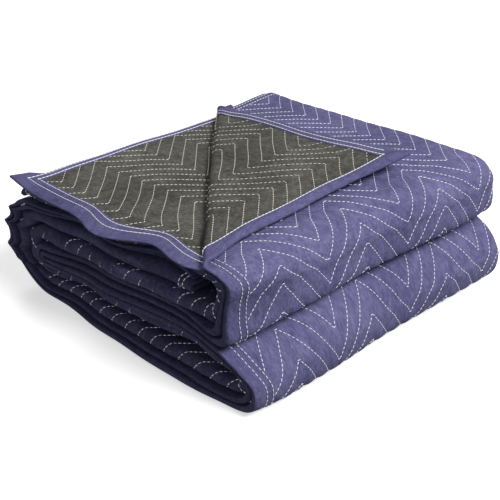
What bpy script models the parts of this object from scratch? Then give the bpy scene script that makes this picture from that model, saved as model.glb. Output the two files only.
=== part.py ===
"""Moving blanket: one quilted cloth with a bound edge, folded to a strip of four layers and laid
flat on itself in five runs, so that it stands in two tiers. Its free top corner is turned back.

The cloth is set out flat, in the lengths LENGTH and WIDTH, and every piece is bent from there with
the same folds. A place on the cloth is (u, v, h): u runs along the strip, v across it, and h is the
height over the cloth's middle, positive on the blue face.
"""

import math

import bmesh
import bpy
from mathutils import Vector

# The folded stack, first as if every layer lay flat on the next.
PITCH = 0.0092              # from one layer to the next
THICKNESS = 0.0073          # the quilted cloth
LOWER_TOP = 10              # the top of the lower tier, in pitches
UPPER_TOP = 22              # and of the upper one
HOLLOW_FROM = 4             # the gap inside the lower tier, in pitches
HOLLOW_TO = 6
HEIGHT = 0.1840             # of the whole, once it has settled

# Across the strip, along Y: two folds of the cloth make four layers.
HEM_Y = -0.2322             # the open edges
FOLD_Y = -0.2215            # the centre of the fold between the two inner layers
TURN_Y = 0.2263             # the centre of both turns on the far side

# Along the strip, along X and Z: five runs with four turns between them.
TOP_END_X = -0.2177         # the strip's free end, on top
UPPER_TURN_X = 0.1487       # the rounded side of the upper tier
LOWER_TURN_X = 0.1663       # the rounded side of the lower tier
BACK_TURN_X = -0.1754       # the turns at the other side
TUCKED_END_X = 0.1162       # the strip's other end, tucked into the upper tier

# Edges.
GAP = 0.0003                # between pieces
HEM_GAP = 0.0005            # between the cloth's faces and its binding
RIM_GAP = 0.0007            # between the cloth's rim and the bend of its binding
HEM_HALF = 0.0019           # half the cloth's thickness inside the binding
HEM_WIDE = 0.0250           # each leg of the binding, and how far the cloth stays this thin
HEM_FULL = 0.0350           # where it is full again
BINDING_THICK = 0.0009
CLOSE = 0.00001             # what counts as on the edge

# The corner turned back: the crease cuts both edges this far from the corner.
CREASE = 0.3690
ROLL = 0.0054               # the crease's radius
TIP_CURL = ((0.075, 0.000), (0.125, 0.001), (0.175, 0.005), (0.220, 0.013), (0.270, 0.026))

# The way the stack has settled.
BACK_HEIGHT = 0.935         # the height at the tucked side, of the height at the rounded side
BACK_WAIST = 0.360          # the lower tier's share of it there
FRONT_WAIST = 0.530         # and at the rounded side
HOLLOW_OPEN = 1.90          # the gap inside the lower tier, in layers, at its rounded side
HOLLOW_SHUT = 0.15          # and at the tucked side
# Heights in the upper tier, in pitches, before and after settling.
UPPER_SLOTS = ((10, 10.0), (12, 12.3), (14, 15.2), (16, 17.5), (18, 18.9), (20, 20.8), (22, 22.0))
# How far each hem or fold reaches out at the open side: (its upper edge in pitches, metres).
REACH = (
    (1, 0.002), (2, -0.003), (5, -0.001), (8, -0.008), (9, -0.001), (10, 0.002), (11, -0.001),
    (12, -0.004), (14, 0.007), (16, 0.001), (17, -0.014), (18, -0.010), (20, -0.005), (22, 0.003),
)
TWIST = 0.028               # the lower tier is turned this much under the upper one
LOW_SHIFT = -0.0026         # and moved, along X and along Y
CENTRE_X = 0.0263           # brings the middle of the stack to the origin
CENTRE_Y = -0.0027

COLOURS = {
    "face_panel": (0.095, 0.096, 0.262, 1.0),
    "back_panel": (0.066, 0.064, 0.056, 1.0),
    "edge_binding": (0.082, 0.083, 0.240, 1.0),
}


def smooth(value, low, high):
    """0 at low, 1 at high, rounded at both ends."""
    t = min(1.0, max(0.0, (value - low) / (high - low)))
    return t * t * (3.0 - 2.0 * t)


def table(rows, value):
    """The value between the rows of a table, and its end values past them."""
    if value <= rows[0][0]:
        return rows[0][1]
    for (near, low), (far, high) in zip(rows[:-1], rows[1:]):
        if value <= far:
            return low + (high - low) * (value - near) / (far - near)
    return rows[-1][1]


def line(start, end):
    """A straight piece of a path, as its length and a function of the distance along it."""
    dx, dy = end[0] - start[0], end[1] - start[1]
    length = math.hypot(dx, dy)
    tangent = (dx / length, dy / length)

    def at(s):
        return (start[0] + tangent[0] * s, start[1] + tangent[1] * s), tangent

    return length, at


def turn(centre, radius, start_angle, way):
    """Half a turn about a centre; way is 1 for anticlockwise and -1 for clockwise."""

    def at(s):
        angle = start_angle + way * s / radius
        point = (centre[0] + radius * math.cos(angle), centre[1] + radius * math.sin(angle))
        return point, (-way * math.sin(angle), way * math.cos(angle))

    return math.pi * radius, at


def along(pieces, s):
    """The point and direction at a distance along a path, straight on past its ends."""
    for index, (length, at) in enumerate(pieces):
        if s <= length or index == len(pieces) - 1:
            return at(s)
        s -= length
    return None


UP, DOWN = math.pi / 2.0, -math.pi / 2.0

# Y and the distance over the strip's middle.
SECTION = [
    line((HEM_Y, 1.5 * PITCH), (TURN_Y, 1.5 * PITCH)),
    turn((TURN_Y, 0.0), 1.5 * PITCH, UP, -1),
    line((TURN_Y, -1.5 * PITCH), (FOLD_Y, -1.5 * PITCH)),
    turn((FOLD_Y, -PITCH), 0.5 * PITCH, DOWN, -1),
    line((FOLD_Y, -0.5 * PITCH), (TURN_Y, -0.5 * PITCH)),
    turn((TURN_Y, 0.0), 0.5 * PITCH, DOWN, 1),
    line((TURN_Y, 0.5 * PITCH), (HEM_Y, 0.5 * PITCH)),
]

# X and Z, from the free end on top to the tucked end.
PATH = [
    line((TOP_END_X, 20 * PITCH), (UPPER_TURN_X, 20 * PITCH)),
    turn((UPPER_TURN_X, 16 * PITCH), 4 * PITCH, UP, -1),
    line((UPPER_TURN_X, 12 * PITCH), (BACK_TURN_X, 12 * PITCH)),
    turn((BACK_TURN_X, 10 * PITCH), 2 * PITCH, UP, 1),
    line((BACK_TURN_X, 8 * PITCH), (LOWER_TURN_X, 8 * PITCH)),
    turn((LOWER_TURN_X, 5 * PITCH), 3 * PITCH, UP, -1),
    line((LOWER_TURN_X, 2 * PITCH), (BACK_TURN_X, 2 * PITCH)),
    turn((BACK_TURN_X, 9 * PITCH), 7 * PITCH, DOWN, -1),
    line((BACK_TURN_X, 16 * PITCH), (TUCKED_END_X, 16 * PITCH)),
]

WIDTH = sum(length for length, at in SECTION)
LENGTH = sum(length for length, at in PATH)
TOP_RUN = PATH[0][0]
UPPER_TIER = TOP_RUN + PATH[1][0]
LOWER_START = UPPER_TIER + PATH[2][0] + PATH[3][0]
LOWER_END = LOWER_START + PATH[4][0] + PATH[5][0]


def flat_of_top(u, v, h):
    """A place on the top layer, with its corner rolled back over the crease."""
    past = (CREASE - u - v) / math.sqrt(2.0)
    x, y, z = TOP_END_X + u, HEM_Y + v, 21.5 * PITCH
    if past <= 0.0:
        return x, y, z + h
    # The foot of the point on the crease line, and the way towards the corner.
    foot_x, foot_y = x + past / math.sqrt(2.0), y + past / math.sqrt(2.0)
    angle = min(past / ROLL, math.pi)
    out = (ROLL - h) * math.sin(angle)
    if angle >= math.pi:
        out -= past - math.pi * ROLL
    rise = ROLL - (ROLL - h) * math.cos(angle)
    rise += table(TIP_CURL, past)
    return foot_x - out / math.sqrt(2.0), foot_y - out / math.sqrt(2.0), z + rise


def sagged(x, z, centre_x, centre_z, reach, below):
    """A rounded side's distance out, fuller where it hangs under its middle."""
    if x <= centre_x:
        return x
    lift = (z - centre_z) / reach
    return centre_x + (x - centre_x) * (1.0 + (below if lift < 0 else 0.1) * lift * lift)


def reach_of(slot):
    """How far a layer reaches out at the open side, from its height in pitches."""
    total = REACH[0][1]
    for (edge, before), (far, after) in zip(REACH[:-1], REACH[1:]):
        total += (after - before) * smooth(slot, edge - 0.08, edge + 0.08)
    return total


def levelled(x, y, z):
    """The height after settling: the tiers slope, and the lower one stays open at its turn."""
    rounded = smooth(x, -0.28, 0.20)
    waist = (BACK_WAIST + (FRONT_WAIST - BACK_WAIST) * rounded) * HEIGHT
    height = BACK_HEIGHT + (1.0 - BACK_HEIGHT) * rounded
    height *= 1.0 + 0.020 * math.sin(9.0 * x + 1.0) * math.cos(8.0 * y - 0.4)
    height *= 1.0 - 0.040 * smooth(y, -0.24, 0.25)
    slot = z / PITCH
    if slot >= LOWER_TOP:
        high = table(UPPER_SLOTS, slot) - LOWER_TOP + max(0.0, slot - UPPER_TOP)
        return (waist + high / (UPPER_TOP - LOWER_TOP) * (HEIGHT - waist)) * height
    hollow = smooth(x, 0.0, 0.17) * (1.0 - 0.5 * smooth(y, -0.2, 0.2))
    hollow = HOLLOW_SHUT + (HOLLOW_OPEN - HOLLOW_SHUT) * hollow
    flat_hollow = HOLLOW_TO - HOLLOW_FROM
    if slot >= HOLLOW_TO:
        slot += hollow - flat_hollow
    elif slot > HOLLOW_FROM:
        slot = HOLLOW_FROM + (slot - HOLLOW_FROM) * hollow / flat_hollow
    return slot * waist / (LOWER_TOP - flat_hollow + hollow) * height


def settled(x, y, z, upper_turn, lower_turn):
    """Moves a point as the stack's own weight does: the rounded sides sag and the tiers slope."""
    if upper_turn:
        x = sagged(x, z, UPPER_TURN_X, 16 * PITCH, 6 * PITCH, 0.9)
    if lower_turn:
        x = sagged(x, z, LOWER_TURN_X, 5 * PITCH, 5 * PITCH, 0.6)
    open_side = smooth(-y, 0.12, 0.22) * smooth(x, -0.18, -0.11) * (1.0 - smooth(x, 0.09, 0.15))
    y -= reach_of(z / PITCH) * open_side
    z -= 0.5 * PITCH - THICKNESS / 2.0
    z = levelled(x, y, z)
    # The upper tier sits a little further back at the near end.
    x -= 0.012 * smooth(z, 0.03, 0.10) * smooth(-y, -0.24, 0.24)
    low = 1.0 - smooth(z, 0.039, 0.092)
    x, y = x + low * (TWIST * y + LOW_SHIFT), y + low * (LOW_SHIFT - TWIST * x)
    return x + CENTRE_X, y + CENTRE_Y, z


def place(u, v, h):
    """Where a place on the cloth comes to lie."""
    if u <= TOP_RUN and v <= SECTION[0][0]:
        x, y, z = flat_of_top(u, v, h)
    else:
        (y, over), (ty, to) = along(SECTION, v)
        y, over = y - to * h, over + ty * h
        (x, z), (tx, tz) = along(PATH, u)
        x, z = x - tz * over, z + tx * over
    return settled(x, y, z, u <= UPPER_TIER, LOWER_START <= u <= LOWER_END)


def edge_of(u, v):
    """The distance in from the cloth's nearest edge."""
    return min(u, LENGTH - u, v, WIDTH - v)


def half(u, v):
    """Half the cloth's thickness: thinner in the binding."""
    edge = edge_of(u, v)
    if edge >= HEM_FULL:
        return THICKNESS / 2.0
    return HEM_HALF + (THICKNESS / 2.0 - HEM_HALF) * smooth(edge, HEM_WIDE, HEM_FULL)


def stations(pieces, cells):
    """The distances along a path at which the cloth is divided."""
    found, start = [], 0.0
    for (length, at), count in zip(pieces, cells):
        found.extend(start + length * i / count for i in range(count))
        start += length
    found.append(start)
    near = [d for d in found if HEM_FULL + 0.02 < d < start - HEM_FULL - 0.02]
    return [0.0, HEM_WIDE, HEM_FULL] + near + [start - HEM_FULL, start - HEM_WIDE, start]


ALONG = stations(PATH, (4, 8, 4, 6, 4, 6, 4, 8, 3))
ACROSS = stations(SECTION, (4, 6, 3, 4, 3, 4, 3))
ROLL_LINES = [math.pi * ROLL * i / 6.0 for i in range(7)] + [past for past, rise in TIP_CURL[:-1]]


def flat_cloth():
    """The flat cloth as faces in u and v, cut along the crease."""
    mesh = bmesh.new()
    rows, columns = len(ALONG) - 1, len(ACROSS) - 1
    bmesh.ops.create_grid(mesh, x_segments=rows, y_segments=columns, size=0.5)
    for point in mesh.verts:
        i, j = round((point.co.x + 0.5) * rows), round((point.co.y + 0.5) * columns)
        point.co = (ALONG[i], ACROSS[j], 0.0)
    slant = Vector((1.0, 1.0, 0.0)).normalized()
    for past in ROLL_LINES:
        at = Vector(((CREASE - past * math.sqrt(2.0)), 0.0, 0.0))
        faces = [f for f in mesh.faces if f.calc_center_median().dot((1, 1, 0)) < CREASE * 1.4]
        faces = [f for f in faces if f.calc_center_median().x < TOP_RUN]
        edges = {e for f in faces for e in f.edges}
        corners = {c for f in faces for c in f.verts}
        bmesh.ops.bisect_plane(
            mesh, geom=list(corners) + list(edges) + faces, dist=1e-6, plane_co=at, plane_no=slant
        )
    bmesh.ops.triangulate(mesh, faces=mesh.faces[:], quad_method="FIXED")
    mesh.verts.index_update()
    points = [(p.co.x, p.co.y) for p in mesh.verts]
    faces = [tuple(p.index for p in f.verts) for f in mesh.faces]
    rim = [(e.verts[0].index, e.verts[1].index) for e in mesh.edges if e.is_boundary]
    mesh.free()
    return points, faces, rim


def panel_mesh(lower, upper):
    """A closed panel between two heights over the cloth's middle, each a function of u and v."""
    points, faces, rim = flat_cloth()
    count = len(points)
    solid = [place(u, v, lower(u, v)) for u, v in points]
    solid += [place(u, v, upper(u, v)) for u, v in points]
    ways = {}
    for face in faces:
        for a, b in zip(face, face[1:] + face[:1]):
            ways[(a, b)] = True
    shell = [tuple(reversed(face)) for face in faces]
    shell += [tuple(corner + count for corner in face) for face in faces]
    for a, b in rim:
        if (a, b) not in ways:
            a, b = b, a
        shell.append((a, b, b + count))
        shell.append((a, b + count, a + count))
    return solid, shell


def beyond_edge(u, v, by):
    """A place on the cloth's rim moved outwards, along the crease where it crosses; others stay."""
    at_start, at_side = u < CLOSE, v < CLOSE
    if at_start and HEM_FULL < v <= CREASE + CLOSE:
        return -by, v + by
    if at_side and HEM_FULL < u <= CREASE + CLOSE:
        return u + by, -by
    if at_start:
        u = -by
    elif u > LENGTH - CLOSE:
        u = LENGTH + by
    if at_side:
        v = -by
    elif v > WIDTH - CLOSE:
        v = WIDTH + by
    return u, v


def binding_mesh():
    """The strip folded over the cloth's edge, all the way round."""
    points, faces, rim = flat_cloth()
    band = [face for face in faces if all(edge_of(*points[i]) < HEM_WIDE + CLOSE for i in face)]
    used = sorted({i for face in band for i in face})
    local = {i: n for n, i in enumerate(used)}
    band = [tuple(local[i] for i in face) for face in band]
    inside = HEM_HALF + HEM_GAP
    outside = inside + BINDING_THICK
    count = len(used)
    solid = []
    for height, by in ((inside, RIM_GAP), (outside, RIM_GAP + BINDING_THICK)):
        for sign in (1.0, -1.0):
            for i in used:
                u, v = beyond_edge(*points[i], by)
                solid.append(place(u, v, sign * height))
    # The layers of points, in the order above: inner top, inner bottom, outer top, outer bottom.
    shell = [tuple(reversed(face)) for face in band]
    shell += [tuple(i + count for i in face) for face in band]
    shell += [tuple(i + 2 * count for i in face) for face in band]
    shell += [tuple(i + 3 * count for i in reversed(face)) for face in band]
    on_rim = {frozenset((local[a], local[b])) for a, b in rim}
    uses = {}
    for face in band:
        for a, b in zip(face, face[1:] + face[:1]):
            uses.setdefault(frozenset((a, b)), []).append((a, b))
    for pair, ways in uses.items():
        if len(ways) == 2:
            continue
        a, b = ways[0]
        joined = ((0, 1), (3, 2)) if pair in on_rim else ((2, 0), (1, 3))
        for low, high in joined:
            shell.append((b + low * count, a + low * count, a + high * count))
            shell.append((b + low * count, a + high * count, b + high * count))
    return solid, shell


def add(name, points, faces):
    """Makes an object with its own material from points and faces, with its normals outwards."""
    mesh = bpy.data.meshes.new(name)
    mesh.from_pydata(points, [], faces)
    work = bmesh.new()
    work.from_mesh(mesh)
    bmesh.ops.recalc_face_normals(work, faces=work.faces[:])
    if work.calc_volume(signed=True) < 0:
        bmesh.ops.reverse_faces(work, faces=work.faces[:])
    work.to_mesh(mesh)
    work.free()
    material = bpy.data.materials.new(name)
    material.use_nodes = True
    shader = material.node_tree.nodes["Principled BSDF"]
    shader.inputs["Base Color"].default_value = COLOURS[name]
    shader.inputs["Roughness"].default_value = 0.95
    material.diffuse_color = COLOURS[name]
    mesh.materials.append(material)
    part = bpy.data.objects.new(name, mesh)
    collection.objects.link(part)
    return part


for existing in list(bpy.data.objects):
    bpy.data.objects.remove(existing)
collection = bpy.data.collections.new("moving_blanket")
bpy.context.scene.collection.children.link(collection)

add("face_panel", *panel_mesh(lambda u, v: GAP / 2.0, half))
add("back_panel", *panel_mesh(lambda u, v: -half(u, v), lambda u, v: -GAP / 2.0))
add("edge_binding", *binding_mesh())
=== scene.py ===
"""Moving blanket: the looks. One quilted cloth, bound at its edge, is laid out flat in u (along the
folded strip) and v (across it), and every surface, strip and stitch is bent from there by the same
folds. Lengths are in metres."""
import math

import bmesh
import bpy
import numpy as np
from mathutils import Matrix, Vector


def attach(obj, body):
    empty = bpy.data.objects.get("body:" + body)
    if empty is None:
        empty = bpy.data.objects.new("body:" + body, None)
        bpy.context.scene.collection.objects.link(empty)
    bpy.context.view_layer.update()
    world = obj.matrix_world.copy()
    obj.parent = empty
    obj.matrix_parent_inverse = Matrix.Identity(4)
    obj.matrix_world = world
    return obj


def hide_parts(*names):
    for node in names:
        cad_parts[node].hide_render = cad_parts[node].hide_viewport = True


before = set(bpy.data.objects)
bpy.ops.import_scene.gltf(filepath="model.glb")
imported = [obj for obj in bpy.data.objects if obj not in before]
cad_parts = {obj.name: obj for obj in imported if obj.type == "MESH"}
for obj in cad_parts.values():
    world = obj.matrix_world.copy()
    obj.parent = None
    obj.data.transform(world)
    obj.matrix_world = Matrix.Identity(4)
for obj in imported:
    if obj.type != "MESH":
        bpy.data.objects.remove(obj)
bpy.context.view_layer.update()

# The folds, as in the CAD model
PITCH = 0.0092
THICKNESS = 0.0073
HEIGHT = 0.1840
HEM_Y, FOLD_Y, TURN_Y = -0.2322, -0.2215, 0.2263
TOP_END_X, UPPER_TURN_X, LOWER_TURN_X = -0.2177, 0.1487, 0.1663
BACK_TURN_X, TUCKED_END_X = -0.1754, 0.1162
HEM_HALF, HEM_WIDE, HEM_FULL = 0.0021, 0.0250, 0.0350
BINDING_THICK, BINDING_GAP = 0.0009, 0.0002
CREASE, ROLL = 0.3690, 0.0054
BACK_HEIGHT, BACK_WAIST, FRONT_WAIST = 0.935, 0.360, 0.530
HOLLOW_OPEN, HOLLOW_SHUT = 1.9, 0.15
UPPER_SLOTS = ((10, 12, 14, 16, 18, 20, 22), (10.0, 12.3, 15.2, 17.5, 18.9, 20.8, 22.0))
REACH = (
    (1, 0.002), (2, -0.003), (5, -0.001), (8, -0.008), (9, -0.001), (10, 0.002), (11, -0.001),
    (12, -0.004), (14, 0.007), (16, 0.001), (17, -0.014), (18, -0.010), (20, -0.005), (22, 0.003),
)
TWIST, LOW_X, LOW_Y = 0.028, -0.0026, -0.0026
CENTRE_X, CENTRE_Y = 0.0263, -0.0027

# What this one blanket has slept into, beyond the CAD model
HEM_ROLL, HEM_TUCK = 0.0065, 0.0085     # the turned corner's hems stand up and draw in
HEM_DROOP, HEM_HANG = 0.0100, 0.0040    # the far hem droops, the near one leans out and hangs
TAIL, TAIL_REACH = 0.012, 0.055         # the uncovered layer's corner is drawn out
HEM_WAVES = ((-0.016, -0.046, 0.038), (0.011, 0.033, 0.032))    # size, place and width of each
EARS = ((0.115, 0.011, 0.0055), (0.090, 0.014, 0.0060), (0.049, 0.015, 0.0090))    # height, size, width
FAR_FULLER, FAR_FULLER_LOW = 0.0055, 0.0050     # the far corner, and more of it in the lower tier
WAIST_SLUMP, UPPER_SLUMP, CORNER_DROP = 0.008, 0.014, 0.016     # the near corner
NEAR_EDGE_IN = 0.010
LOW_REACH, LOW_DRAWN_IN = 0.010, 0.012          # the lower tier reaches out and draws in

# Quilting and sewing
ROW = 0.0248                # between two quilting lines
ZIGZAG = 0.1420             # one wave of a line, across the strip
SWING = 0.0710              # how far a line swings along the strip
DIP = 0.0010                # how deep the lines draw each face in
DIP_WIDE = 0.0085
QUILT_STITCH, QUILT_GAP = 0.0040, 0.0017
HEM_LINES = (0.0140, 0.0222)
HEM_FACE_STITCH, HEM_BACK_STITCH = (0.0044, 0.0018), (0.0056, 0.0003)    # stitch and gap
THREAD = 0.00054            # the thread's radius
LINE_WANDER = 0.0016        # how far a quilting line strays from its zigzag

UP, DOWN = math.pi / 2.0, -math.pi / 2.0
DIAGONAL = math.sqrt(2.0)


def smooth(value, low, high):
    """0 at low, 1 at high, rounded at both ends."""
    t = np.clip((value - low) / (high - low), 0.0, 1.0)
    return t * t * (3.0 - 2.0 * t)


def line(start, end):
    """A straight piece of a path."""
    start, end = np.array(start), np.array(end)
    length = float(np.hypot(*(end - start)))
    tangent = (end - start) / length

    def at(s):
        return start[:, None] + tangent[:, None] * s, tangent[:, None] + 0.0 * s

    return length, at


def turn(centre, radius, start_angle, way):
    """Half a turn about a centre; way is 1 for anticlockwise and -1 for clockwise."""
    centre = np.array(centre)

    def at(s):
        angle = start_angle + way * s / radius
        point = centre[:, None] + radius * np.array([np.cos(angle), np.sin(angle)])
        return point, way * np.array([-np.sin(angle), np.cos(angle)])

    return math.pi * radius, at


def along(pieces, s):
    """Points and directions at distances along a path, straight on past its ends."""
    point, tangent = np.zeros((2, len(s))), np.zeros((2, len(s)))
    start = 0.0
    for index, (length, at) in enumerate(pieces):
        mine = (s > start) | (index == 0)
        if mine.any():
            point[:, mine], tangent[:, mine] = at(s[mine] - start)
        start += length
    return point, tangent


SECTION = [
    line((HEM_Y, 1.5 * PITCH), (TURN_Y, 1.5 * PITCH)),
    turn((TURN_Y, 0.0), 1.5 * PITCH, UP, -1),
    line((TURN_Y, -1.5 * PITCH), (FOLD_Y, -1.5 * PITCH)),
    turn((FOLD_Y, -PITCH), 0.5 * PITCH, DOWN, -1),
    line((FOLD_Y, -0.5 * PITCH), (TURN_Y, -0.5 * PITCH)),
    turn((TURN_Y, 0.0), 0.5 * PITCH, DOWN, 1),
    line((TURN_Y, 0.5 * PITCH), (HEM_Y, 0.5 * PITCH)),
]
PATH = [
    line((TOP_END_X, 20 * PITCH), (UPPER_TURN_X, 20 * PITCH)),
    turn((UPPER_TURN_X, 16 * PITCH), 4 * PITCH, UP, -1),
    line((UPPER_TURN_X, 12 * PITCH), (BACK_TURN_X, 12 * PITCH)),
    turn((BACK_TURN_X, 10 * PITCH), 2 * PITCH, UP, 1),
    line((BACK_TURN_X, 8 * PITCH), (LOWER_TURN_X, 8 * PITCH)),
    turn((LOWER_TURN_X, 5 * PITCH), 3 * PITCH, UP, -1),
    line((LOWER_TURN_X, 2 * PITCH), (BACK_TURN_X, 2 * PITCH)),
    turn((BACK_TURN_X, 9 * PITCH), 7 * PITCH, DOWN, -1),
    line((BACK_TURN_X, 16 * PITCH), (TUCKED_END_X, 16 * PITCH)),
]


def marks(pieces):
    """The distance along a path at the start of each piece, and at its end."""
    return np.concatenate([[0.0], np.cumsum([length for length, at in pieces])])


ACROSS, ALONG = marks(SECTION), marks(PATH)
WIDTH, LENGTH = float(ACROSS[-1]), float(ALONG[-1])


def waves(a, b, seed, size, wavelength):
    """A smooth unevenness over two lengths, from a few crossed waves."""
    rng = np.random.default_rng(seed)
    total = np.zeros(np.broadcast(a, b).shape)
    for i in range(6):
        angle, phase = rng.uniform(0, math.pi), rng.uniform(0, 2 * math.pi)
        turns = 2 * math.pi / (wavelength * rng.uniform(0.7, 1.5))
        total = total + np.sin(turns * (a * math.cos(angle) + b * math.sin(angle)) + phase)
    return size * total / 6.0 ** 0.5


def past_crease(u, v):
    """How far a place of the top layer lies beyond the crease, towards the corner."""
    return (CREASE - u - v) / DIAGONAL


def curl(past):
    """How far the turned corner curls up at a distance past the crease."""
    return np.interp(past, (0.090, 0.130, 0.175, 0.220, 0.270), (0.0, 0.001, 0.005, 0.013, 0.026))


def rolled_hem(u, v, past):
    """How far the turned corner's own hems stand up and draw in, as a rolled edge does."""
    near = np.minimum(u, v)
    shown = smooth(past, 0.015, 0.060)
    rolled = (0.45 + 0.55 * smooth(near, 0.0, 0.009)) * (1.0 - smooth(near, 0.014, 0.040))
    tucked = (1.0 - smooth(v, 0.0, 0.026)) * smooth(u, 0.0, 0.090)
    return HEM_ROLL * rolled * shown, HEM_TUCK * tucked * shown


def flat_of_top(u, v, h):
    """Places on the top layer, with its corner rolled back over the crease."""
    past = np.maximum(past_crease(u, v), 0.0)
    angle = np.minimum(past / ROLL, math.pi)
    out = (ROLL - h) * np.sin(angle) - np.maximum(past - math.pi * ROLL, 0.0)
    lift, tuck = rolled_hem(u, v, past)
    rise = ROLL - (ROLL - h) * np.cos(angle) + curl(past) + lift
    x = TOP_END_X + u + (past - out) / DIAGONAL - tuck
    y = HEM_Y + v + (past - out) / DIAGONAL
    return x, y, 21.5 * PITCH + rise


def sagged(x, z, centre_x, centre_z, reach, below):
    """A rounded side's distance out, fuller where it hangs under its middle."""
    lift = (z - centre_z) / reach
    full = 1.0 + np.where(lift < 0, below, 0.1) * lift * lift
    return np.where(x > centre_x, centre_x + (x - centre_x) * full, x)


def reach_of(slot):
    """How far a layer reaches out at the open side, from its height in pitches."""
    total = REACH[0][1] + 0.0 * slot
    for (edge, before), (far, after) in zip(REACH[:-1], REACH[1:]):
        total = total + (after - before) * smooth(slot, edge - 0.08, edge + 0.08)
    return total


def levelled(x, y, z):
    """The heights after settling: the tiers slope, and the lower one stays open at its turn."""
    rounded = smooth(x, -0.28, 0.20)
    waist = (BACK_WAIST + (FRONT_WAIST - BACK_WAIST) * rounded) * HEIGHT
    height = BACK_HEIGHT + (1.0 - BACK_HEIGHT) * rounded
    height = height * (1.0 + 0.020 * np.sin(9.0 * x + 1.0) * np.cos(8.0 * y - 0.4))
    height = height * (1.0 - 0.040 * smooth(y, -0.24, 0.25))
    height = height * (1.0 + waves(x, y, 5, 0.008, 0.16))
    opened = smooth(x, 0.0, 0.17) * (1.0 - 0.5 * smooth(y, -0.2, 0.2))
    hollow = HOLLOW_SHUT + (HOLLOW_OPEN - HOLLOW_SHUT) * opened
    slot = z / PITCH
    low = np.where(slot < 4, slot, np.where(slot < 6, 4 + (slot - 4) * hollow / 2, slot - 2 + hollow))
    high = (np.interp(slot, *UPPER_SLOTS) - 10.0) / 12.0
    high = np.where(slot > 22, 1.0 + (slot - 22) / 12.0, high)
    return np.where(slot < 10, low * waist / (8 + hollow), waist + high * (HEIGHT - waist)) * height


def lower_tier(z):
    """1 in the lower tier and 0 in the upper one, with a soft change between them."""
    return 1.0 - smooth(z, 0.039, 0.092)


def wavy_hems(x, y, z):
    """Places after the near hems wave at the top, and ragged hem corners stand out at the left."""
    wave = sum(size * np.exp(-(((x - at) / wide) ** 2)) for size, at, wide in HEM_WAVES)
    y = y + wave * smooth(-y, 0.14, 0.235) * smooth(z, 0.125, 0.160)
    left = smooth(-x, 0.165, 0.235) * smooth(-y, 0.180, 0.236)
    for height, out, sharp in EARS:
        x = x - out * left * np.exp(-np.abs((z - height) / sharp) ** 1.5)
    return x, y


def slumped(x, y, z):
    """Places after the far corner fills out, the near one slumps and the lower tier reaches out."""
    low = lower_tier(z)
    far = smooth(x, -0.02, 0.21) * smooth(y, -0.05, 0.22) * (FAR_FULLER + FAR_FULLER_LOW * low)
    corner = smooth(x, 0.06, 0.20) * smooth(-y, 0.10, 0.235)
    slump = WAIST_SLUMP * smooth(z, 0.06, 0.10) * (1.0 - smooth(z, 0.12, 0.17))
    slump = slump + UPPER_SLUMP * smooth(z, 0.090, 0.130) * (1.0 - smooth(z, 0.148, 0.182))
    x = x + far - slump * corner
    x = x - NEAR_EDGE_IN * smooth(x, 0.11, 0.19) * smooth(-y, 0.185, 0.262) ** 2
    x = x + LOW_REACH * low * smooth(x, 0.04, 0.19)
    y = y + LOW_DRAWN_IN * low * smooth(x, 0.04, 0.19) * smooth(-y, 0.0, 0.235)
    drop = CORNER_DROP * corner * smooth(z, 0.025, 0.085) * (1.0 - smooth(z, 0.092, 0.165))
    return x, y + far, z - drop


def settled(x, y, z, upper, lower):
    """Moves points as the stack's own weight does: the rounded sides sag and the tiers slope."""
    x = np.where(upper, sagged(x, z, UPPER_TURN_X, 16 * PITCH, 6 * PITCH, 0.9), x)
    x = np.where(lower, sagged(x, z, LOWER_TURN_X, 5 * PITCH, 5 * PITCH, 0.6), x)
    open_side = smooth(-y, 0.12, 0.22) * smooth(x, -0.18, -0.11) * (1.0 - smooth(x, 0.09, 0.15))
    y = y - reach_of(z / PITCH) * open_side
    z = z - 0.5 * PITCH + THICKNESS / 2.0
    z = levelled(x, y, z)
    x = x - 0.012 * smooth(z, 0.03, 0.10) * smooth(-y, -0.24, 0.24)
    low = lower_tier(z)
    x, y = x + low * (TWIST * y + LOW_X), y + low * (LOW_Y - TWIST * x)
    x = x + waves(y, z, 7, 0.0022, 0.20) * smooth(np.abs(x), 0.05, 0.2)
    y = y + waves(x, z, 9, 0.0022, 0.13) * smooth(-y, 0.05, 0.22)
    x, y = wavy_hems(x, y, z)
    x, y, z = slumped(x, y, z)
    return x + CENTRE_X, y + CENTRE_Y, z


def hung(u, v, x, y, z):
    """Places after the loose hems hang: a corner drawn out, the far hem drooping, the near one out."""
    tail = TAIL * np.maximum(0.0, 1.0 - np.hypot(u, WIDTH - v) / TAIL_REACH) ** 2
    free = 1.0 - smooth(tail, 0.0, 0.4 * TAIL)
    lies = ~((v <= ACROSS[1]) & (past_crease(u, v) > -0.012))
    near = (u <= ALONG[1]) * (1.0 - smooth(u, 0.33, 0.36))
    x, z = x - tail, z + 0.35 * tail
    z = z - HEM_DROOP * (1.0 - smooth(u, 0.0, 0.014)) * lies * free
    y = y - HEM_HANG * (1.0 - smooth(WIDTH - v, 0.0, 0.030)) * near
    z = z - HEM_HANG * (1.0 - smooth(WIDTH - v, 0.0, 0.016)) * near * free
    return x, y, z


def place(u, v, h):
    """Where places on the cloth come to lie: h is the height over its middle, up on the blue face."""
    u, v, h = (np.array(a, float) for a in np.broadcast_arrays(u, v, h))
    (y, over), (ty, to) = along(SECTION, v)
    y, over = y - to * h, over + ty * h
    (x, z), (tx, tz) = along(PATH, u)
    x, z = x - tz * over, z + tx * over
    top = (u <= ALONG[1]) & (v <= ACROSS[1])
    x[top], y[top], z[top] = flat_of_top(u[top], v[top], h[top])
    x, y, z = hung(u, v, x, y, z)
    points = settled(x, y, z, u <= ALONG[2], (u >= ALONG[4]) & (u <= ALONG[6]))
    return np.stack(points, axis=1)


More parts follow.
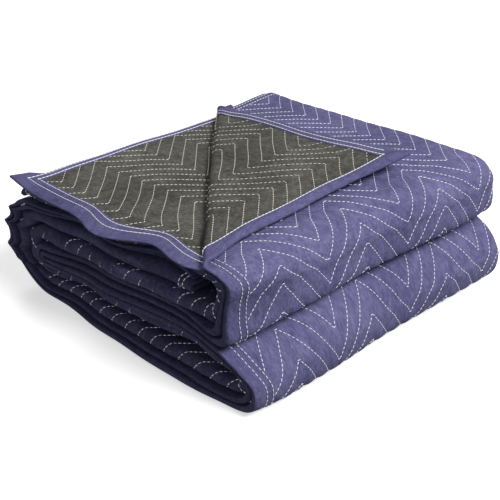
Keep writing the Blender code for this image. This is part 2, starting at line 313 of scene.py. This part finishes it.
def edge_of(u, v):
    """The distance in from the cloth's nearest edge."""
    return np.minimum(np.minimum(u, LENGTH - u), np.minimum(v, WIDTH - v))


def zigzag(v):
    """How far a quilting line has swung along the strip."""
    return SWING * np.abs(((v / ZIGZAG) % 1.0) * 2.0 - 1.0)


def wander(u, v):
    """How far a quilting line strays from its zigzag there."""
    return waves(u, v, 21, LINE_WANDER, 0.11)


def quilt_phase(u, v):
    """Which quilting line is near, in rows: whole numbers are lines."""
    return (u - wander(u, v) - zigzag(v)) / ROW


def half(u, v):
    """Half the cloth's thickness: drawn in at the quilting lines and thinner in the binding."""
    edge = edge_of(u, v)
    phase = quilt_phase(u, v)
    away = np.abs(phase - np.round(phase)) * ROW / DIAGONAL
    full = THICKNESS / 2.0 - DIP * np.exp(-((away / DIP_WIDE * 2.0) ** 2))
    return HEM_HALF + (full - HEM_HALF) * smooth(edge, HEM_WIDE, HEM_FULL)


def steps(pieces, sizes):
    """Distances along a path, with a step size for each of its pieces."""
    found = [0.0, HEM_WIDE]
    start = 0.0
    for (length, at), size in zip(pieces, sizes):
        count = max(1, round(length / size))
        found.extend(start + length * i / count for i in range(1, count + 1))
        start += length
    found = [s for s in found if 1e-6 < s < start - 1e-6 and not 0 < abs(s - HEM_WIDE) < 0.003]
    found = [s for s in found if not 0 < abs(s - start + HEM_WIDE) < 0.003]
    found += [0.0, start - HEM_WIDE, start]
    return np.array(sorted(set(round(s, 7) for s in found)))


FINE, SOME, FEW = 0.0045, 0.0080, 0.0200
U_LINES = steps(PATH, (FINE, 0.0030, FEW, 0.0050, FEW, 0.0024, SOME, 0.0040, FEW))
V_LINES = steps(SECTION, (FINE, 0.0030, SOME * 1.6, 0.0018, FEW, 0.0025, FINE))


def mesh_object(name, points, faces, material, uvs):
    """An object from arrays, smooth shaded, with a UV map in metres, given for each point."""
    mesh = bpy.data.meshes.new(name)
    mesh.from_pydata(np.asarray(points).tolist(), [], np.asarray(faces).tolist())
    layer = mesh.uv_layers.new(name="cloth")
    corners = np.zeros(len(mesh.loops), np.int32)
    mesh.loops.foreach_get("vertex_index", corners)
    layer.data.foreach_set("uv", uvs[corners].astype(np.float32).ravel())
    mesh.polygons.foreach_set("use_smooth", np.ones(len(mesh.polygons), bool))
    mesh.materials.append(material)
    piece = bpy.data.objects.new(name, mesh)
    bpy.context.scene.collection.objects.link(piece)
    return piece


def grid_faces(rows, columns):
    """The quads of a grid of points, rows by columns."""
    i, j = np.meshgrid(np.arange(rows - 1), np.arange(columns - 1), indexing="ij")
    first = (i * columns + j).ravel()
    return np.stack([first, first + columns, first + columns + 1, first + 1], axis=1)


def cloth_surface(name, side, material):
    """One face of the quilted cloth: side is 1 for the blue face and -1 for the charcoal one."""
    u, v = (a.ravel() for a in np.meshgrid(U_LINES, V_LINES, indexing="ij"))
    faces = grid_faces(len(U_LINES), len(V_LINES))
    if side < 0:
        faces = faces[:, ::-1]
    return mesh_object(name, place(u, v, side * half(u, v)), faces, material, np.stack([u, v], 1))


# Materials
def material_of(name):
    """A new material, its node tree and its shader."""
    material = bpy.data.materials.new(name)
    material.use_nodes = True
    tree = material.node_tree
    return material, tree, tree.nodes["Principled BSDF"]


def noise(tree, coordinates, scale, detail=4.0, roughness=0.6, stretch=None):
    """A noise texture on the cloth's own lengths."""
    node = tree.nodes.new("ShaderNodeTexNoise")
    node.inputs["Scale"].default_value = scale
    node.inputs["Detail"].default_value = detail
    node.inputs["Roughness"].default_value = roughness
    if stretch:
        mapping = tree.nodes.new("ShaderNodeMapping")
        mapping.inputs["Scale"].default_value = stretch
        tree.links.new(coordinates, mapping.inputs["Vector"])
        coordinates = mapping.outputs["Vector"]
    tree.links.new(coordinates, node.inputs["Vector"])
    return node.outputs["Fac"]


def math_node(tree, operation, a, b):
    """A Math node over two sockets, or a socket and a number."""
    node = tree.nodes.new("ShaderNodeMath")
    node.operation = operation
    for socket, value in zip(node.inputs, (a, b)):
        if isinstance(value, float):
            socket.default_value = value
        else:
            tree.links.new(value, socket)
    return node.outputs[0]


def ramp(tree, factor, stops):
    """A colour ramp with (place, colour) stops."""
    node = tree.nodes.new("ShaderNodeValToRGB")
    elements = node.color_ramp.elements
    while len(elements) < len(stops):
        elements.new(0.5)
    for element, (at, colour) in zip(elements, stops):
        element.position = at
        element.color = (*colour, 1.0)
    tree.links.new(factor, node.inputs["Fac"])
    return node.outputs["Color"]


def felt(name, dark, mid, light, nap):
    """Needled felt: matted fibres, mottled in tone, puckered between its quilting, with a soft nap."""
    material, tree, shader = material_of(name)
    uv = tree.nodes.new("ShaderNodeUVMap").outputs["UV"]
    broad = noise(tree, uv, scale=9.0, detail=3.0, roughness=0.6)
    mottle = noise(tree, uv, scale=95.0, detail=5.0, roughness=0.7)
    fibres = noise(tree, uv, scale=420.0, detail=4.0, roughness=0.75, stretch=(0.5, 1.0, 1.0))
    pucker = noise(tree, uv, scale=36.0, detail=3.0, roughness=0.55)
    tone = math_node(tree, "MULTIPLY", broad, 0.25)
    tone = math_node(tree, "ADD", tone, math_node(tree, "MULTIPLY", mottle, 0.35))
    tone = math_node(tree, "ADD", tone, math_node(tree, "MULTIPLY", fibres, 0.40))
    colour = ramp(tree, tone, ((0.39, dark), (0.50, mid), (0.61, light)))
    tree.links.new(colour, shader.inputs["Base Color"])
    shader.inputs["Roughness"].default_value = 0.95
    shader.inputs["Specular IOR Level"].default_value = 0.10
    shader.inputs["Sheen Weight"].default_value = 0.12
    shader.inputs["Sheen Roughness"].default_value = 0.5
    shader.inputs["Sheen Tint"].default_value = (*light, 1.0)
    height = math_node(tree, "MULTIPLY", pucker, 3.2)
    height = math_node(tree, "ADD", height, math_node(tree, "MULTIPLY", mottle, 0.8))
    height = math_node(tree, "ADD", height, math_node(tree, "MULTIPLY", fibres, nap))
    bump = tree.nodes.new("ShaderNodeBump")
    bump.inputs["Strength"].default_value = 0.6
    bump.inputs["Distance"].default_value = 0.0022
    tree.links.new(height, bump.inputs["Height"])
    tree.links.new(bump.outputs["Normal"], shader.inputs["Normal"])
    return material


def thread_material(name, colour):
    """Twisted polyester thread, with a painted glow from its emission that keeps it pale in the shade."""
    material, tree, shader = material_of(name)
    where = tree.nodes.new("ShaderNodeTexCoord").outputs["Object"]
    shade = noise(tree, where, scale=900.0, detail=2.0)
    duller = tuple(c * 0.8 for c in colour)
    tree.links.new(ramp(tree, shade, ((0.3, duller), (0.7, colour))), shader.inputs["Base Color"])
    shader.inputs["Roughness"].default_value = 0.55
    # painted glow: the thread gives off light of its own, so it stays pale where the lamps leave it in
    # shade
    shader.inputs["Emission Color"].default_value = (*colour, 1.0)
    shader.inputs["Emission Strength"].default_value = 0.24
    return material


FACE = felt("blue_felt", (0.083, 0.078, 0.180), (0.143, 0.135, 0.286), (0.232, 0.219, 0.400), 0.50)
BACK = felt("charcoal_felt", (0.045, 0.043, 0.038), (0.105, 0.101, 0.090), (0.200, 0.193, 0.174), 0.35)
STRIP = felt("blue_strip", (0.075, 0.071, 0.165), (0.125, 0.119, 0.255), (0.200, 0.190, 0.360), 0.25)
WHITE = thread_material("white_thread", (0.95, 0.95, 0.98))
CREAM = thread_material("cream_thread", (0.86, 0.85, 0.79))


# The cloth and its binding
face_cloth = cloth_surface("face_cloth", 1, FACE)
back_cloth = cloth_surface("back_cloth", -1, BACK)


def binding_section():
    """The binding's cross-section as (distance in from the edge, height): out, round and back."""
    inside, outside = HEM_HALF + BINDING_GAP, HEM_HALF + BINDING_GAP + BINDING_THICK
    bend = [(-outside * 0.55 * math.cos(a), outside * math.sin(a)) for a in np.linspace(1.2, -1.2, 7)]
    legs = [HEM_WIDE, 0.0226, 0.0218, 0.0185, 0.0144, 0.0136, 0.010, 0.006, 0.002]
    draw = {0.0226: 0.0006, 0.0218: 0.0006, 0.0144: 0.0007, 0.0136: 0.0007}
    top = [(d, outside - draw.get(d, 0.0)) for d in legs]
    bottom = [(d, -h) for d, h in reversed(top)]
    return [(HEM_WIDE, inside * 0.6)] + top + bend + bottom + [(HEM_WIDE, -inside * 0.6)]


def lean_at(s):
    """How far the binding's rings lean beside the crease, so that one ring lies along it."""
    return np.interp(s, (CREASE - 0.075, CREASE - 0.035, CREASE, CREASE + 0.0005), (0, 1, 1, 0))


def binding_rings(d):
    """Where the cross-section stands, ring by ring round the cloth, and how far round each ring is."""
    inner_u = U_LINES[(U_LINES > HEM_FULL) & (U_LINES < LENGTH - HEM_FULL)]
    inner_v = V_LINES[(V_LINES > HEM_FULL) & (V_LINES < WIDTH - HEM_FULL)]
    near_u, far_u, near_v, far_v = inner_u[0], inner_u[-1], inner_v[0], inner_v[-1]
    last_u, last_v = LENGTH - d, WIDTH - d
    rings, distance = [], []

    def add(u, v, travelled):
        rings.append((u + 0.0 * d, v + 0.0 * d))
        distance.append(travelled)

    def corner(u, v, towards_u, towards_v, travelled):
        """Rings between a mitred corner and the straight side, where the cloth bends most."""
        for part in (0.2, 0.4, 0.6, 0.8):
            add(u + (towards_u - u) * part, v + (towards_v - v) * part, travelled)

    add(d, d, 0.0)
    corner(d, d, near_u, d, 0.02)
    for u in inner_u:
        add(u - lean_at(u) * d, d, u)
    corner(far_u, d, last_u, d, LENGTH - 0.02)
    add(last_u, d, LENGTH)
    corner(last_u, d, last_u, near_v, LENGTH + 0.02)
    for v in inner_v:
        add(last_u, v, LENGTH + v)
    corner(last_u, far_v, last_u, last_v, LENGTH + WIDTH - 0.02)
    add(last_u, last_v, LENGTH + WIDTH)
    corner(last_u, last_v, far_u, last_v, LENGTH + WIDTH + 0.02)
    for u in inner_u[::-1]:
        add(u, last_v, 2 * LENGTH + WIDTH - u)
    corner(near_u, last_v, d, last_v, 2 * LENGTH + WIDTH - 0.02)
    add(d, last_v, 2 * LENGTH + WIDTH)
    corner(d, last_v, d, far_v, 2 * LENGTH + WIDTH + 0.02)
    for v in inner_v[::-1]:
        add(d, v - lean_at(v) * d, 2 * LENGTH + 2 * WIDTH - v)
    corner(d, near_v, d, d, 2 * LENGTH + 2 * WIDTH - 0.02)
    return rings, distance


def binding():
    """The strip sewn over the cloth's edge, all the way round, mitred at the corners."""
    section = np.array(binding_section())
    rings, distance = binding_rings(section[:, 0])
    n, count = len(section), len(rings)
    u = np.concatenate([ring[0] for ring in rings])
    v = np.concatenate([ring[1] for ring in rings])
    girth = np.cumsum(np.hypot(*np.diff(section, axis=0, prepend=section[:1]).T))
    uvs = np.stack([np.repeat(distance, n), np.tile(girth, count)], 1)
    i, j = (a.ravel() for a in np.meshgrid(np.arange(count), np.arange(n), indexing="ij"))
    after, beside = (i + 1) % count, (j + 1) % n
    faces = np.stack([i * n + j, i * n + beside, after * n + beside, after * n + j], axis=1)
    piece = mesh_object("binding_strip", place(u, v, np.tile(section[:, 1], count)), faces, STRIP, uvs)
    work = bmesh.new()
    work.from_mesh(piece.data)
    bmesh.ops.recalc_face_normals(work, faces=work.faces[:])
    work.to_mesh(piece.data)
    work.free()
    return piece


strip = binding()


# Stitches
def stitch_bar(nodes, links, length):
    """A short line along X, of the stitch's length and centred, cut so that it can taper."""
    bar = nodes.new("GeometryNodeCurvePrimitiveLine")
    half_length = nodes.new("ShaderNodeMath")
    half_length.operation = "MULTIPLY"
    half_length.inputs[1].default_value = 0.5
    links.new(length, half_length.inputs[0])
    ahead = nodes.new("ShaderNodeCombineXYZ")
    links.new(half_length.outputs[0], ahead.inputs["X"])
    behind = nodes.new("ShaderNodeVectorMath")
    behind.operation = "SCALE"
    behind.inputs["Scale"].default_value = -1.0
    links.new(ahead.outputs[0], behind.inputs[0])
    links.new(behind.outputs[0], bar.inputs["Start"])
    links.new(ahead.outputs[0], bar.inputs["End"])
    cut = nodes.new("GeometryNodeResampleCurve")
    cut.inputs["Count"].default_value = 4
    links.new(bar.outputs["Curve"], cut.inputs["Curve"])
    return cut.outputs["Curve"]


def one_stitch(nodes, links, length, radius):
    """A stitch's mesh: a bar of thread, thin at both ends, where it goes into the cloth."""
    swell = nodes.new("ShaderNodeFloatCurve")
    curve = swell.mapping.curves[0]
    curve.points[0].location = (0.0, 0.45)
    curve.points[1].location = (1.0, 0.45)
    curve.points.new(0.25, 1.0)
    curve.points.new(0.75, 1.0)
    swell.mapping.update()
    parameter = nodes.new("GeometryNodeSplineParameter")
    links.new(parameter.outputs["Factor"], swell.inputs["Value"])
    tapered = nodes.new("GeometryNodeSetCurveRadius")
    links.new(stitch_bar(nodes, links, length), tapered.inputs["Curve"])
    links.new(swell.outputs[0], tapered.inputs["Radius"])
    profile = nodes.new("GeometryNodeCurvePrimitiveCircle")
    profile.inputs["Resolution"].default_value = 4
    links.new(radius, profile.inputs["Radius"])
    solid = nodes.new("GeometryNodeCurveToMesh")
    solid.inputs["Fill Caps"].default_value = True
    links.new(tapered.outputs["Curve"], solid.inputs["Curve"])
    links.new(profile.outputs["Curve"], solid.inputs["Profile Curve"])
    if "Scale" in solid.inputs:
        links.new(swell.outputs[0], solid.inputs["Scale"])
    return solid.outputs["Mesh"]


def stitch_tree(material):
    """Geometry Nodes: short stitches, thin at their ends, set one after another along lines of thread."""
    tree = bpy.data.node_groups.new("stitches", "GeometryNodeTree")
    face = tree.interface
    face.new_socket("Geometry", in_out="INPUT", socket_type="NodeSocketGeometry")
    for label, value in (("Stitch", 0.006), ("Pitch", 0.009), ("Thread radius", 0.0006)):
        socket = face.new_socket(label, in_out="INPUT", socket_type="NodeSocketFloat")
        socket.default_value = value
    face.new_socket("Geometry", in_out="OUTPUT", socket_type="NodeSocketGeometry")
    nodes, links = tree.nodes, tree.links
    given, result = nodes.new("NodeGroupInput"), nodes.new("NodeGroupOutput")
    to_curve = nodes.new("GeometryNodeMeshToCurve")
    spaced = nodes.new("GeometryNodeResampleCurve")
    spaced.mode = "LENGTH"
    links.new(given.outputs["Geometry"], to_curve.inputs["Mesh"])
    links.new(to_curve.outputs["Curve"], spaced.inputs["Curve"])
    links.new(given.outputs["Pitch"], spaced.inputs["Length"])
    heading = nodes.new("FunctionNodeAlignRotationToVector")
    heading.axis = "X"
    tangent = nodes.new("GeometryNodeInputTangent")
    links.new(tangent.outputs[0], heading.inputs["Vector"])
    each = nodes.new("GeometryNodeInstanceOnPoints")
    stitch = one_stitch(nodes, links, given.outputs["Stitch"], given.outputs["Thread radius"])
    links.new(spaced.outputs["Curve"], each.inputs["Points"])
    links.new(stitch, each.inputs["Instance"])
    links.new(heading.outputs[0], each.inputs["Rotation"])
    real = nodes.new("GeometryNodeRealizeInstances")
    links.new(each.outputs["Instances"], real.inputs["Geometry"])
    dyed = nodes.new("GeometryNodeSetMaterial")
    dyed.inputs["Material"].default_value = material
    links.new(real.outputs["Geometry"], dyed.inputs["Geometry"])
    links.new(dyed.outputs["Geometry"], result.inputs["Geometry"])
    return tree


def sew(name, runs, stitch, gap, radius, material):
    """Stitches along runs of points, as one plain mesh."""
    points = np.concatenate(runs)
    edges, start = [], 0
    for run in runs:
        edges.extend((start + i, start + i + 1) for i in range(len(run) - 1))
        start += len(run)
    guide_mesh = bpy.data.meshes.new(name + "_lines")
    guide_mesh.from_pydata(points.tolist(), edges, [])
    guide = bpy.data.objects.new(name + "_lines", guide_mesh)
    bpy.context.scene.collection.objects.link(guide)
    modifier = guide.modifiers.new("stitches", "NODES")
    modifier.node_group = stitch_tree(material)
    values = {"Stitch": stitch, "Pitch": stitch + gap, "Thread radius": radius}
    for item in modifier.node_group.interface.items_tree:
        if item.name in values:
            modifier[item.identifier] = values[item.name]
    bpy.context.view_layer.update()
    mesh = bpy.data.meshes.new_from_object(guide.evaluated_get(bpy.context.evaluated_depsgraph_get()))
    bpy.data.objects.remove(guide)
    mesh.name = name
    mesh.polygons.foreach_set("use_smooth", np.ones(len(mesh.polygons), bool))
    piece = bpy.data.objects.new(name, mesh)
    bpy.context.scene.collection.objects.link(piece)
    return piece


def split_runs(u, v, keep, height):
    """The stretches of a line of places that are kept, bent into the stack."""
    runs = []
    ends = np.flatnonzero(np.diff(np.concatenate([[0], keep.astype(int), [0]])))
    for a, b in zip(ends[::2], ends[1::2]):
        if b - a > 3:
            runs.append(place(u[a:b], v[a:b], height[a:b]))
    return runs


def face_shows(u, v):
    """Where the blue face can be seen: outermost layer, far turns and near folds."""
    turns = ((u > ALONG[1]) & (u < ALONG[2] + 0.04)) | ((u > ALONG[5] - 0.05) & (u < ALONG[6] + 0.02))
    turns = turns | ((u > ALONG[7] - 0.02) & (u < ALONG[8] + 0.03))
    top = (u <= ALONG[1]) & (past_crease(u, v) < 0.012)
    outer = (v < ACROSS[1]) & (top | turns)
    far = (v > ACROSS[1] - 0.02) & (v < ACROSS[2] + 0.02)
    near = (v > ACROSS[3] - 0.022) & (v < ACROSS[4] + 0.012) & (u < ALONG[7] + 0.01)
    return outer | far | near


def back_shows(u, v):
    """Where the charcoal face can be seen: the turned corner, and the layer that it uncovers."""
    corner = (v < ACROSS[1]) & (u < ALONG[1]) & (past_crease(u, v) > 0.002)
    uncovered = (v > ACROSS[6]) & (u < ALONG[1]) & (past_crease(u, WIDTH - v) > -0.03)
    return corner | uncovered


def quilting(side, shows):
    """The zigzag lines on one face, where they show."""
    runs = []
    v = np.arange(HEM_WIDE, WIDTH - HEM_WIDE, ZIGZAG / 96.0)
    for k in range(-int(SWING / ROW) - 1, int(LENGTH / ROW) + 1):
        u = k * ROW + zigzag(v)
        u = u + wander(u, v)
        keep = (edge_of(u, v) > HEM_WIDE) & shows(u, v)
        runs += split_runs(u, v, keep, side * (half(u, v) + 0.35 * THREAD))
    return runs


def hem_runs(side):
    """The two lines through the binding, round all four edges; the flap's near edge hides its outer one."""
    runs = []
    height = HEM_HALF + BINDING_GAP + BINDING_THICK + 0.3 * THREAD
    for d in HEM_LINES:
        u = np.arange(d, LENGTH - d, 0.002)
        v = np.arange(d, WIDTH - d, 0.002)
        for a, b in ((u, d + 0 * u), (LENGTH - d + 0 * v, v), (u, WIDTH - d + 0 * u), (d + 0 * v, v)):
            rolled = (side < 0) & (d == HEM_LINES[0]) & (b < 0.03) & (a < CREASE - 0.02)
            runs += split_runs(a, b, ~rolled, side * height + 0 * a)
    return runs


face_thread = sew("face_quilting", quilting(1, face_shows), QUILT_STITCH, QUILT_GAP, THREAD, WHITE)
back_thread = sew("back_quilting", quilting(-1, back_shows), QUILT_STITCH, QUILT_GAP, THREAD * 0.9, CREAM)
hem_face = sew("hem_stitches_face", hem_runs(1), *HEM_FACE_STITCH, THREAD, WHITE)
hem_back = sew("hem_stitches_back", hem_runs(-1), *HEM_BACK_STITCH, THREAD * 1.15, WHITE)

# What each piece is
pieces = {
    face_cloth: ("face_panel", "face_panel"),
    back_cloth: ("back_panel", "back_panel"),
    strip: ("edge_binding", "edge_binding"),
}
for piece, (node, slot) in pieces.items():
    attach(piece, "root")
    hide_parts(node)
for piece in (face_thread, back_thread, hem_face, hem_back):
    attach(piece, "root")


# Floor, light and camera
FLOOR_GLOW, FLOOR_HALF = 0.58, 40.0
SKY = 0.13
CAMERA_AROUND, CAMERA_UP, CAMERA_AWAY = 44.12, 30.29, 1.3686    # degrees, degrees, metres
CAMERA_AIM = (0.0689, -0.0724, 0.100)
CAMERA_FOCAL = 1049.4       # in pixels of the 500 pixel frame
FRAME_PIXELS, SENSOR = 500.0, 36.0


def floor():
    """A plain pale floor, a little bright of itself; it throws no light back on the cloth."""
    material, tree, shader = material_of("floor")
    shader.inputs["Base Color"].default_value = (0.93, 0.93, 0.93, 1.0)
    shader.inputs["Roughness"].default_value = 0.9
    shader.inputs["Emission Color"].default_value = (1.0, 1.0, 1.0, 1.0)
    shader.inputs["Emission Strength"].default_value = FLOOR_GLOW
    mesh = bpy.data.meshes.new("floor")
    size = FLOOR_HALF
    corners = [(-size, -size, 0), (size, -size, 0), (size, size, 0), (-size, size, 0)]
    mesh.from_pydata(corners, [], [(0, 1, 2, 3)])
    mesh.materials.append(material)
    piece = bpy.data.objects.new("floor", mesh)
    piece.visible_diffuse = False
    bpy.context.scene.collection.objects.link(piece)


def soft_sun(name, comes_from, strength, spread):
    """A distant soft light from a direction, with the angle that it fills in degrees."""
    light = bpy.data.lights.new(name, "SUN")
    light.energy = strength
    light.angle = math.radians(spread)
    piece = bpy.data.objects.new(name, light)
    piece.rotation_euler = Vector(comes_from).to_track_quat("Z", "Y").to_euler()
    bpy.context.scene.collection.objects.link(piece)


def soft_panel(name, place_at, aim, size, power):
    """A square light panel that points at a place."""
    light = bpy.data.lights.new(name, "AREA")
    light.size = size
    light.energy = power
    piece = bpy.data.objects.new(name, light)
    piece.location = place_at
    piece.rotation_euler = (Vector(place_at) - Vector(aim)).to_track_quat("Z", "Y").to_euler()
    bpy.context.scene.collection.objects.link(piece)


def camera():
    """The photograph's view: from the corner, a little above."""
    around, up = math.radians(CAMERA_AROUND), math.radians(CAMERA_UP)
    level = math.cos(up)
    back = Vector((math.sin(around) * level, -math.cos(around) * level, math.sin(up)))
    lens = bpy.data.cameras.new("camera")
    lens.sensor_width = SENSOR
    lens.lens = SENSOR * CAMERA_FOCAL / FRAME_PIXELS
    piece = bpy.data.objects.new("camera", lens)
    piece.location = Vector(CAMERA_AIM) + back * CAMERA_AWAY
    piece.rotation_euler = back.to_track_quat("Z", "Y").to_euler()
    bpy.context.scene.collection.objects.link(piece)
    bpy.context.scene.camera = piece


floor()
soft_sun("key", comes_from=(1.0, 0.25, 1.15), strength=1.68, spread=22.0)
soft_panel("near_key", (0.95, 0.05, 1.20), aim=(0.18, -0.02, 0.10), size=0.6, power=7.8)
soft_sun("rim", comes_from=(-0.70, 0.40, 0.55), strength=0.70, spread=18.0)
world = bpy.data.worlds.new("studio")
world.use_nodes = True
sky = world.node_tree.nodes["Background"]
sky.inputs["Color"].default_value = (1.0, 1.0, 1.0, 1.0)
sky.inputs["Strength"].default_value = SKY
bpy.context.scene.world = world
bpy.context.scene.view_settings.view_transform = "Standard"
camera()
